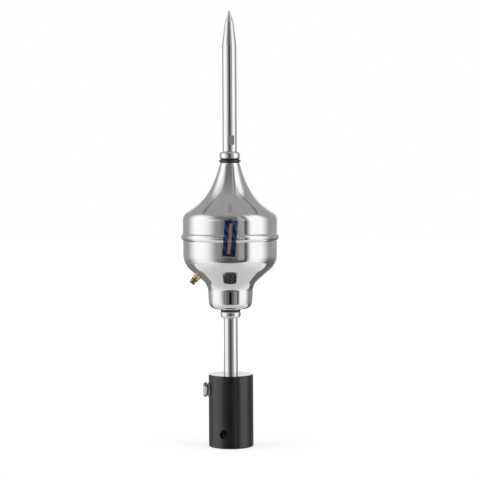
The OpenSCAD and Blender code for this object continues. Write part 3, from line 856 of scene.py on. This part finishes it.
@dataclass
class Shell:
    """Spun dome and bowl, joined by a rolled bead, in millimetres."""

    palette: Palette
    wall: float = 1.2
    wall_r: float = 59.25
    neck_r: float = 12.3
    neck_l: float = 0.6
    rim_bend: float = 0.4
    dome_h: float = 92.3
    # Corners of the flare: out from the neck, down from the top, and the bend
    flare: tuple[float, float, float] = (5.7, 20.5, 115.5)
    flare_low: tuple[float, float, float] = (20.1, 45.9, 55.0)
    shoulder_rise: float = 27.6
    shoulder_bend: float = 12.4
    bead_h: float = 9.4
    bead_out: float = 2.4
    hem_gap: float = 0.05
    seam_gap: float = 0.1
    lip_end: float = math.radians(25.0)
    belly_drop: float = 34.3
    belly_bend: float = 27.4
    crease_turn: float = math.radians(7.0)
    crease_bend: float = 9.0
    crease_drop: float = 2.0
    crease_end: float = 0.98
    wall_draft: float = 0.2
    cup_r: float = 27.2
    cup_h: float = 29.9
    cup_draft: float = 1.6
    cup_bend: float = 8.9
    cone_bend: float = 17.0
    foot_bore_r: float = 10.0
    drill_l: float = 7.2
    drill_sides: int = 64
    crisp: float = 35.0
    steps: int = 288

    @property
    def bead_r(self) -> float:
        """Radius of the bead's arc."""
        return ((self.bead_h / 2) ** 2 + self.bead_out ** 2) / (2 * self.bead_out)

    @property
    def seam_z(self) -> float:
        """Height of the bead's crest, from the dome's top."""
        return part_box("upper_dome")[1].z / MM - self.dome_h

    @property
    def bead_centre(self) -> Vector:
        """Centre of the bead's arc."""
        return Vector((self.wall_r + self.bead_out - self.bead_r, self.seam_z))

    def at_radius(self, arc_r: float, r: float) -> float:
        """Angle at which an arc about the bead's centre crosses a radius."""
        return math.acos((r - self.bead_centre.x) / arc_r)

    def dome_knees(self) -> list[Knee]:
        """Corners of the dome's outside, from the neck down to the bead."""
        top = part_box("upper_dome")[1].z / MM
        return [
            Knee(self.neck_r, top),
            Knee(self.neck_r, top - self.neck_l),
            Knee(self.neck_r + self.flare[0], top - self.flare[1], self.flare[2]),
            Knee(self.neck_r + self.flare_low[0], top - self.flare_low[1], self.flare_low[2]),
            Knee(self.wall_r, self.seam_z + self.shoulder_rise, self.shoulder_bend),
            Knee(self.wall_r, self.seam_z + self.bead_h / 2),
        ]

    def bowl_knees(self) -> list[Knee]:
        """Corners of the bowl's outside, from its lip down to the foot."""
        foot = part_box("lower_bowl")[0].z / MM
        outer = self.wall_r - self.hem_gap
        lip = self.bead_r - self.wall - self.seam_gap
        return [
            Knee(outer, self.seam_z - lip * math.sin(self.at_radius(lip, outer))),
            Knee(outer - self.wall_draft, self.seam_z - self.belly_drop, self.belly_bend),
            Knee(self.cup_r + self.cup_draft, foot + self.cup_h, self.cone_bend),
            Knee(self.cup_r, foot, self.cup_bend),
            Knee(self.foot_bore_r, foot),
        ]

    def creased_knees(self) -> list[Knee]:
        """Corners of the bowl's outside, with a short bend at the end of the wall before the slow one."""
        knees = self.bowl_knees()
        wall, belly, cone = (knee.at for knee in knees[:3])
        into = (belly - wall).normalized()
        out = (cone - belly).normalized()
        turn = into.angle(out)
        left = turn - self.crease_turn
        short = self.crease_bend * math.tan(self.crease_turn / 2)
        above = self.belly_bend * math.tan(turn / 2) - self.crease_drop - short
        upper = belly - into * above
        lower = belly + out * above * math.sin(self.crease_turn) / math.sin(left)
        slow = self.crease_end * ((lower - upper).length - short) / math.tan(left / 2)
        return [knees[0], Knee(*upper, self.crease_bend), Knee(*lower, slow), *knees[2:]]

    def on_cone(self, lift: float) -> tuple[Vector, float]:
        """A place on the straight stretch of the bowl's cone.

        Args:
            lift: Distance up the cone from the middle of that stretch.

        Returns:
            The place as radius and height, and the cone's rise over the horizon.
        """
        wall, upper, lower, foot = (knee.at for knee in self.bowl_knees()[:4])
        course = (upper - lower).normalized()
        start = self.cone_bend * math.tan((lower - foot).angle(course) / 2)
        end = (upper - lower).length - self.belly_bend * math.tan((wall - upper).angle(course) / 2)
        return lower + course * ((start + end) / 2 + lift), math.atan2(course.y, course.x)

    def build_dome(self) -> None:
        """Spins the dome with its bead."""
        centre = self.bead_centre
        inside = self.bead_r - self.wall
        hem = self.wall_r + self.hem_gap
        knees = self.dome_knees()
        top = math.asin(self.bead_h / 2 / self.bead_r)
        rim = [Knee(self.neck_r - self.wall / 2, knees[0].z), Knee(self.neck_r, knees[0].z, self.rim_bend)]
        outer = Outline.rounded(rim + knees[1:])
        outer += Outline.arc(centre, self.bead_r, top, -self.at_radius(self.bead_r, hem))[1:]
        inner = Outline.arc(centre, inside, -self.at_radius(inside, hem),
                            self.at_radius(inside, self.wall_r - self.wall))
        back = Outline.rounded(Outline.inset(knees, self.wall))
        dome = Workshop.lathe("shell_dome", outer + inner + back[::-1], self.steps)
        Workshop.smooth(dome, self.crisp)
        Workshop.dress(dome, self.palette.get("steel"))
        Workshop.hand_over(dome, Slot.STEEL, "upper_dome")

    def build_bowl(self, hole: Matrix, hole_r: float) -> None:
        """Spins the bowl with its lip and drills the hole for the test socket.

        Args:
            hole: Place of the hole, with its axis along Z.
            hole_r: Radius of the hole.
        """
        centre = self.bead_centre
        lip = self.bead_r - self.wall - self.seam_gap
        inside = lip - self.wall
        outer_r = self.wall_r - self.hem_gap
        knees = self.creased_knees()
        start = Outline.arc(centre, lip, self.lip_end, -self.at_radius(lip, outer_r))
        end = Outline.arc(centre, inside, -self.at_radius(inside, outer_r - self.wall), self.lip_end)
        back = Outline.rounded(Outline.inset(knees, self.wall))
        outline = start[:-1] + Outline.rounded(knees) + back[::-1] + end
        bowl = Workshop.lathe("shell_bowl", outline, self.steps)
        bpy.ops.mesh.primitive_cylinder_add(vertices=self.drill_sides, radius=hole_r * MM,
                                            depth=self.drill_l * MM)
        drill = bpy.context.object
        drill.matrix_world = hole
        Workshop.cut(bowl, drill)
        Workshop.smooth(bowl, self.crisp)
        Workshop.dress(bowl, self.palette.get("steel"))
        Workshop.hand_over(bowl, Slot.STEEL, "lower_bowl")


@dataclass
class TestSocket:
    """Brass test socket on the cone of the bowl, in millimetres along its own axis."""

    palette: Palette
    shell: Shell
    turn: float = math.radians(84.0)
    lift: float = -0.5
    flange_t: float = 1.8
    sleeve_r: float = 4.85
    sleeve_l: float = 2.5
    ring_r: float = 4.5
    ring_t: float = 1.5
    barrel_r: float = 4.0
    barrel_l: float = 5.7
    bore_r: float = 2.0
    shank_r: float = 3.0
    gap: float = 0.1
    tail: float = 11.0
    flutes: int = 10
    flute_r: float = 0.7
    flute_out: float = 0.4
    flute_from: float = 0.5
    flute_sides: int = 20
    sleeve_bends: Pair = (0.7, 0.5)
    ring_bend: float = 0.4
    tail_bend: float = 0.4
    barrel_bends: Pair = (0.3, 0.6)
    groove_at: float = 0.72
    groove_half: Pair = (0.35, 0.2)
    groove_depth: float = 0.25
    groove_bend: float = 0.12
    mouth: float = 0.4
    bore_end: Pair = (-1.0, -2.0)
    flange_edge: float = 0.25
    dark_from: float = 0.5
    dark_skin: float = 0.06
    dark_foot: Pair = (-0.01, 0.5)
    steps: int = 96

    @property
    def matrix(self) -> Matrix:
        """Place of the socket's seat, with Z out of the sheet."""
        seat, rise = self.shell.on_cone(self.lift)
        spot = Matrix.Translation((seat.x * MM, 0.0, seat.y * MM))
        tilt = Matrix.Rotation(math.pi - rise, 4, "Y")
        return Matrix.Rotation(-math.pi / 2 - self.turn, 4, "Z") @ spot @ tilt

    def flute(self, barrel: bpy.types.Object, low: float) -> None:
        """Cuts the flutes round the barrel.

        Args:
            barrel: The spun barrel, still upright.
            low: Height at which the flutes start.
        """
        for k in range(self.flutes):
            angle = math.tau * k / self.flutes
            reach = (self.barrel_r + self.flute_out * self.flute_r) * MM
            spot = (reach * math.cos(angle), reach * math.sin(angle), (low + self.barrel_l) * MM)
            bpy.ops.mesh.primitive_cylinder_add(vertices=self.flute_sides, radius=self.flute_r * MM,
                                                depth=2.0 * self.barrel_l * MM, location=spot)
            Workshop.cut(barrel, bpy.context.object)

    def spin(self, name: str, knees: Sequence[Knee], finish: str, slot: Slot, node: str,
             flutes_from: Optional[float] = None) -> None:
        """Spins one piece about the socket's axis and hands it over.

        Args:
            name: Name of the piece.
            knees: Its corners, with heights from the seat outwards.
            finish: Its finish.
            slot: Its slot in the record.
            node: The CAD node that it stands for.
            flutes_from: Height at which the flutes start, for a piece that has them and no open middle.
        """
        piece = Workshop.lathe(name, Outline.rounded(knees), self.steps, closed=flutes_from is None)
        if flutes_from is not None:
            self.flute(piece, flutes_from)
        Workshop.dress(piece, self.palette.get(finish))
        if slot is Slot.BRASS:
            self.tarnish(piece)
        Workshop.place(piece, self.matrix)
        Workshop.smooth(piece)
        Workshop.hand_over(piece, slot, node)

    def tarnish(self, piece: bpy.types.Object) -> None:
        """Darkens the flutes, the groove and the foot of the sleeve, on a piece that is still upright."""
        piece.data.materials.append(self.palette.get("tarnish"))
        barrel = self.flange_t + self.sleeve_l + self.ring_t
        low, high = (self.flange_t + step for step in self.dark_foot)
        inner, outer = self.bore_r + self.dark_from, self.barrel_r - self.dark_skin
        for polygon in piece.data.polygons:
            radius = polygon.center.xy.length / MM
            height = polygon.center.z / MM
            in_flute = height > barrel and inner < radius < outer
            if in_flute or low < height < high:
                polygon.material_index = 1

    def build(self) -> None:
        """Builds the sleeve, the ring and the barrel, and softens the flange."""
        inner = self.shank_r + self.gap
        low = self.flange_t
        foot_bend, head_bend = self.sleeve_bends
        self.spin("socket_sleeve_round", [
            Knee(inner, low),
            Knee(self.sleeve_r, low, foot_bend),
            Knee(self.sleeve_r, low + self.sleeve_l, head_bend),
            Knee(inner, low + self.sleeve_l),
        ], "brass", Slot.BRASS, "socket_sleeve")
        low += self.sleeve_l
        self.spin("socket_ring_round", [
            Knee(inner, low),
            Knee(self.ring_r, low, self.ring_bend),
            Knee(self.ring_r, low + self.ring_t, self.ring_bend),
            Knee(inner, low + self.ring_t),
        ], "insulator", Slot.INSULATOR, "socket_ring")
        low += self.ring_t
        self.spin("socket_barrel", self.barrel_knees(low), "brass", Slot.BRASS, "socket_body",
                  flutes_from=low + self.flute_from)
        flange = Workshop.copy_node("socket_flange", "socket_flange_soft", self.flange_edge)
        Workshop.smooth(flange)
        Workshop.dress(flange, self.palette.get("brass"))
        Workshop.hand_over(flange, Slot.BRASS, "socket_flange")

    def barrel_knees(self, low: float) -> list[Knee]:
        """Corners of the barrel with its shank, its groove and its bore.

        Args:
            low: Height at which the barrel starts on its shank.

        Returns:
            The corners from the tail's end, out and back to the axis in the bore.
        """
        top = low + self.barrel_l
        groove = low + self.groove_at * self.barrel_l
        bottom = self.barrel_r - self.groove_depth
        wide, narrow = self.groove_half
        foot_bend, head_bend = self.barrel_bends
        return [
            Knee(0.0, -self.tail),
            Knee(self.shank_r, -self.tail, self.tail_bend),
            Knee(self.shank_r, low),
            Knee(self.barrel_r, low, foot_bend),
            Knee(self.barrel_r, groove - wide, self.groove_bend),
            Knee(bottom, groove - narrow, self.groove_bend),
            Knee(bottom, groove + narrow, self.groove_bend),
            Knee(self.barrel_r, groove + wide, self.groove_bend),
            Knee(self.barrel_r, top, head_bend),
            Knee(self.bore_r + self.mouth, top),
            Knee(self.bore_r, top - self.mouth),
            Knee(self.bore_r, self.bore_end[0]),
            Knee(0.0, self.bore_end[1]),
        ]


@dataclass
class Foot:
    """Mast adapter with its clamp bolt and the stem that stands in it, in millimetres."""

    palette: Palette
    bolt_washer: float = 29.1
    bolt_edge: float = 0.2
    facet_lean: float = 0.4

    def build(self) -> None:
        """Dresses the adapter and the stem, and softens the bolt."""
        Workshop.dress(frame["nodes"]["mast_adapter"], self.palette.get("black"))
        Workshop.dress(frame["nodes"]["stem_rod"], self.palette.get("rod"))
        bolt = Workshop.copy_node("clamp_bolt", "clamp_bolt_soft", self.bolt_edge)
        Workshop.smooth(bolt)
        Workshop.dress(bolt, self.palette.get("bolt"), self.palette.get("dull"))
        self.mark_faces(bolt)
        Workshop.hand_over(bolt, Slot.PLATED, "clamp_bolt")

    def mark_faces(self, bolt: bpy.types.Object) -> None:
        """Gives the bolt's washer a darker plating, and the facets of its head that lean up or down the same
        darker copy of the plating as painted shade.
        """
        out = Vector(BOLT_AXIS)
        for polygon in bolt.data.polygons:
            on_washer = polygon.center.dot(out) < self.bolt_washer * MM
            # Facets that lean up or down take the darker copy as painted shade.
            if on_washer or abs(polygon.normal.z) > self.facet_lean:
                polygon.material_index = 1


@dataclass
class CarriedNodes:
    """CAD nodes that keep their own mesh and take a finish."""

    palette: Palette
    finishes: dict[str, str] = field(default_factory=lambda: {
        "upper_insulator": "insulator",
        "lower_insulator": "insulator",
        "upper_seal": "rubber",
        "earth_hub": "brass",
        "socket_nut": "brass",
        "hub_screw": "plated",
        "unit_washer": "plated",
        "unit_nut": "plated",
        "pickup_spring": "spring",
        "trigger_unit": "resin",
        "test_lead": "lead",
        "label": "film",
    })

    def build(self) -> None:
        """Dresses each node."""
        for node, finish in self.finishes.items():
            Workshop.dress(frame["nodes"][node], self.palette.get(finish))
            LOG.info("%s: kept, %s", node, finish)


@dataclass
class Camera:
    """The photograph's view, in metres and degrees."""

    distance: float = 1.9
    height: float = 0.345
    aside: float = 0.0122
    pitch: float = 2.6
    roll: float = -0.28
    lens: float = 114.0
    sensor: float = 36.0

    def build(self) -> None:
        """Places the camera in front of the part."""
        data = bpy.data.cameras.new("camera")
        data.lens = self.lens
        data.sensor_width = self.sensor
        camera = bpy.data.objects.new("camera", data)
        bpy.context.scene.collection.objects.link(camera)
        aim = Euler((math.radians(90.0 - self.pitch), 0.0, 0.0)).to_matrix().to_4x4()
        turn = Matrix.Rotation(math.radians(self.roll), 4, "Z")
        camera.matrix_world = Matrix.Translation((self.aside, -self.distance, self.height)) @ aim @ turn
        bpy.context.scene.camera = camera


@dataclass(frozen=True)
class Panel:
    """A soft panel of the tent, in degrees: where it starts and ends round the part and over the horizon."""

    level: float
    rise: Pair
    fall: Pair
    top: Pair
    bottom: Pair = (-89.0, -88.0)
    swing: float = 0.0
    swing_from: Pair = (6.0, 32.0)

    def mask(self, graph: Graph, azimuth: Socket, elevation: Socket) -> Socket:
        """Share of the panel in a direction.

        Args:
            graph: Graph of the tent's material.
            azimuth: Direction round the part, from the front towards the right.
            elevation: Direction over the horizon.

        Returns:
            1 inside the panel and 0 outside it.
        """
        shift = graph.remap(elevation, *self.swing_from, 0.0, self.swing, True)
        around = graph.math("SUBTRACT", azimuth, shift)
        starts = graph.remap(around, *self.rise, 0.0, 1.0, True)
        ends = graph.remap(around, *self.fall, 1.0, 0.0, True)
        upper = graph.remap(elevation, *self.top, 1.0, 0.0, True)
        lower = graph.remap(elevation, *self.bottom, 0.0, 1.0, True)
        return graph.product(starts, ends, upper, lower)


@dataclass
class Studio:
    """Light tent round the part, in metres and degrees.

    It has two bright panels, a grey front with a dark gap, a grey roof and a pale table.
    """

    radius: float = 3.2
    centre_z: float = 0.25
    front: float = 0.18
    rear: float = 0.39
    low: Pair = (0.11, 0.16)
    roof: float = 0.38
    rear_from: Pair = (60.0, 130.0)
    low_to: Pair = (-20.0, -1.0)
    roof_from: Pair = (28.0, 80.0)
    seam_half: Pair = (0.62, 0.46)
    seam_depth: float = 0.45
    seam_run: Pair = (0.3, 0.8)
    seam_edge: Pair = (0.015, 0.06)
    seam_from: Pair = (36.0, 46.0)
    least_height: float = 0.05
    table: float = 0.66
    table_side: float = 0.93
    table_half: float = 0.45
    table_front: float = 0.36
    table_rear: float = 0.14
    table_fade: Pair = (0.05, 0.35)
    table_grazing: Pair = (0.66, 0.78)
    table_drop: float = 2.0 * MM
    foot_shade: Pair = (0.03, 0.05)
    foot_level: float = 0.3
    floor_size: float = 12.0
    floor_drop: float = 0.1 * MM
    floor_white: float = 0.8
    floor_glow: Pair = (0.62, 1.0)
    floor_fade: Pair = (0.4, 1.4)
    surround: float = 0.5
    lights: tuple[Panel, ...] = (
        Panel(1.0, (-128.0, -86.0), (-68.0, -28.0), (30.0, 68.0), swing=-5.0),
        Panel(1.0, (38.0, 54.0), (76.0, 112.0), (40.0, 72.0)),
        Panel(0.22, (14.0, 24.0), (33.0, 35.0), (30.0, 85.0), bottom=(-26.0, -18.0)),
        Panel(0.12, (-62.0, -50.0), (-24.0, -12.0), (10.0, 24.0), bottom=(-34.0, -28.0)),
        Panel(0.2, (-60.0, -50.0), (-34.0, -16.0), (26.0, 32.0), bottom=(0.0, 2.5)),
        Panel(0.16, (18.0, 34.0), (50.0, 60.0), (26.0, 32.0), bottom=(0.0, 2.5)),
        Panel(0.07, (-176.0, -166.0), (-120.0, -100.0), (-8.0, -4.0)),
        Panel(0.65, (145.0, 172.0), (181.0, 182.0), (14.0, 30.0), bottom=(-30.0, -20.0)),
        Panel(0.65, (-182.0, -181.0), (-176.0, -158.0), (14.0, 30.0), bottom=(-30.0, -20.0)),
    )
    gaps: tuple[Panel, ...] = (
        Panel(0.95, (-7.5, -5.0), (5.0, 7.5), (12.0, 17.0), bottom=(0.0, 2.0)),
        Panel(0.95, (-7.5, -5.0), (5.0, 7.5), (-7.5, -6.0), bottom=(-16.0, -14.0)),
        Panel(0.6, (-6.0, -3.0), (3.0, 6.0), (28.0, 34.0), bottom=(17.0, 20.0)),
        Panel(0.2, (-24.0, -21.0), (-19.0, -16.0), (10.0, 20.0), bottom=(-34.0, -28.0)),
        Panel(0.55, (36.0, 37.0), (39.0, 40.5), (10.0, 22.0), bottom=(-34.0, -28.0)),
    )

    def glow(self, name: str) -> tuple[bpy.types.Material, Graph, bpy.types.Node]:
        """Starts a material that only gives light."""
        material = bpy.data.materials.new(name)
        material.use_nodes = True
        tree = material.node_tree
        tree.nodes.clear()
        graph = Graph(tree)
        light = graph.node("ShaderNodeEmission")
        out = graph.node("ShaderNodeOutputMaterial", name="out")
        graph.feed(out.inputs["Surface"], light.outputs[0])
        return material, graph, light

    def card(self, obj: bpy.types.Object, name: str, material: bpy.types.Material) -> None:
        """Makes an object part of the stage and hides it from the camera."""
        obj.name = name
        Workshop.dress(obj, material)
        obj.visible_camera = False

    def build_tent(self) -> None:
        """Builds the tent, whose light follows the direction from the part."""
        bpy.ops.mesh.primitive_uv_sphere_add(segments=64, ring_count=32, radius=self.radius)
        tent = bpy.context.object
        Workshop.place(tent, Matrix.Translation((0.0, 0.0, self.centre_z)))
        material, graph, light = self.glow("tent")
        x, y, z = graph.split(graph.place())
        height = graph.math("SUBTRACT", z, self.centre_z)
        azimuth = graph.math("DEGREES", graph.math("ARCTAN2", x, graph.product(y, -1.0)))
        elevation = graph.math("DEGREES", graph.math("ARCSINE", graph.math("DIVIDE", height, self.radius)))
        level = self.cloth(graph, azimuth, elevation)
        for panel in self.lights:
            level = graph.add_scaled(panel.mask(graph, azimuth, elevation), panel.level, level)
        for gap in self.gaps:
            kept = graph.add_scaled(gap.mask(graph, azimuth, elevation), -gap.level, 1.0)
            level = graph.product(level, kept)
        seam = self.seams(graph, (x, y, height), elevation)
        kept = graph.add_scaled(seam, -self.seam_depth, 1.0)
        graph.feed(light.inputs["Color"], graph.product(level, kept))
        self.card(tent, "tent", material)

    def cloth(self, graph: Graph, azimuth: Socket, elevation: Socket) -> Socket:
        """Light of the tent's unlit cloth in a direction."""
        aside = graph.math("ABSOLUTE", azimuth)
        around = graph.remap(aside, *self.rear_from, self.front, self.rear, True)
        under = graph.remap(aside, *self.rear_from, *self.low, True)
        above = graph.remap(elevation, *self.low_to, 0.0, 1.0, True)
        wall = graph.mix(above, under, around)
        roof = graph.remap(elevation, *self.roof_from, 0.0, 1.0, True)
        return graph.mix(roof, wall, graph.grey(self.roof))

    def seams(self, graph: Graph, spot: Sequence[Socket], elevation: Socket) -> Socket:
        """The two seams that run overhead from front to rear and close in at the rear.

        Args:
            graph: Graph of the tent's material.
            spot: Place on the tent, as parts from its centre.
            elevation: Direction over the horizon.

        Returns:
            1 on a seam and 0 away from it.
        """
        x, y, z = spot
        height = graph.math("MAXIMUM", z, self.least_height)
        across = graph.math("ABSOLUTE", graph.math("DIVIDE", x, height))
        half = graph.remap(graph.math("DIVIDE", y, height), *self.seam_run, *self.seam_half, True)
        beside = graph.math("ABSOLUTE", graph.math("SUBTRACT", across, half))
        line = graph.remap(beside, *self.seam_edge, 1.0, 0.0, True)
        return graph.product(line, graph.remap(elevation, *self.seam_from, 0.0, 1.0, True))

    def build_table(self) -> None:
        """Builds the pale table top that the shell mirrors. Grazing rays pass through it to the tent."""
        bpy.ops.mesh.primitive_plane_add(size=1.0)
        table = bpy.context.object
        depth = self.table_front + self.table_rear
        middle = Matrix.Translation((0.0, (self.table_rear - self.table_front) / 2, -self.table_drop))
        Workshop.place(table, middle @ Matrix.Diagonal((2.0 * self.table_half, depth, 1.0, 1.0)))
        material, graph, light = self.glow("table")
        side = graph.math("ABSOLUTE", graph.split(graph.place())[0])
        level = graph.remap(side, *self.table_fade, self.table, self.table_side, True)
        shade = graph.remap(graph.away(), *self.foot_shade, self.foot_level, 1.0, True)
        graph.feed(light.inputs["Color"], graph.product(level, shade))
        facing = graph.node("ShaderNodeLayerWeight", {"Blend": 0.5}).outputs["Facing"]
        seen = graph.remap(facing, *self.table_grazing, 1.0, 0.0, True)
        clear = graph.node("ShaderNodeBsdfTransparent")
        mixed = graph.node("ShaderNodeMixShader", {0: seen, 1: clear.outputs[0], 2: light.outputs[0]})
        graph.feed(graph.tree.nodes["out"].inputs["Surface"], mixed.outputs[0])
        self.card(table, "table", material)

    def build_floor(self) -> None:
        """Builds the floor that the camera sees: white, with the part's shadow on it."""
        bpy.ops.mesh.primitive_plane_add(size=self.floor_size)
        floor = bpy.context.object
        floor.name = "floor"
        Workshop.place(floor, Matrix.Translation((0.0, 0.0, -self.floor_drop)))
        material, graph, light = self.glow("floor")
        glow = graph.remap(graph.away(), *self.floor_fade, *self.floor_glow, True)
        graph.feed(light.inputs["Color"], glow)
        diffuse = graph.node("ShaderNodeBsdfDiffuse", {"Color": graph.grey(self.floor_white)})
        both = graph.node("ShaderNodeAddShader", {0: light.outputs[0], 1: diffuse.outputs[0]})
        graph.feed(graph.tree.nodes["out"].inputs["Surface"], both.outputs[0])
        Workshop.dress(floor, material)
        for ray in ("diffuse", "glossy", "transmission", "shadow"):
            setattr(floor, f"visible_{ray}", False)

    def build_world(self) -> None:
        """Gives the camera a white background and the rest a plain grey."""
        world = bpy.data.worlds.new("world")
        world.use_nodes = True
        bpy.context.scene.world = world
        graph = Graph(world.node_tree)
        path = graph.node("ShaderNodeLightPath")
        background = world.node_tree.nodes["Background"]
        seen = graph.mix(path.outputs["Is Camera Ray"], graph.grey(self.surround), graph.grey(1.0))
        graph.feed(background.inputs["Color"], seen)
        background.inputs["Strength"].default_value = 1.0
        bpy.context.scene.view_settings.view_transform = "Standard"

    def build(self) -> None:
        """Builds the whole studio."""
        self.build_tent()
        self.build_table()
        self.build_floor()
        self.build_world()


def label_film() -> Printed:
    """The label's finish, fitted to the label's own box."""
    low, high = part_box("label")
    middle = (low + high) / 2
    return Printed("label_film", colour=(0.003, 0.005, 0.014), second=(0.004, 0.009, 0.026),
                   rough=(0.18, 0.24), bump=0.002, coat=0.3, middle=(middle.x, middle.z))


def main() -> None:
    """Builds the sub-assemblies in order."""
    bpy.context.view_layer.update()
    palette = Palette(label_film(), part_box("mast_adapter")[1].z)
    Finial(palette).build()
    Collar(palette, End.UPPER).build()
    Collar(palette, End.LOWER).build()
    shell = Shell(palette)
    socket = TestSocket(palette, shell)
    shell.build_dome()
    shell.build_bowl(socket.matrix, socket.shank_r + socket.gap)
    socket.build()
    Foot(palette).build()
    CarriedNodes(palette).build()
    Studio().build()
    Camera().build()


if __name__ == "__main__":
    logging.basicConfig(level=logging.INFO, format="%(name)s: %(message)s")
    main()
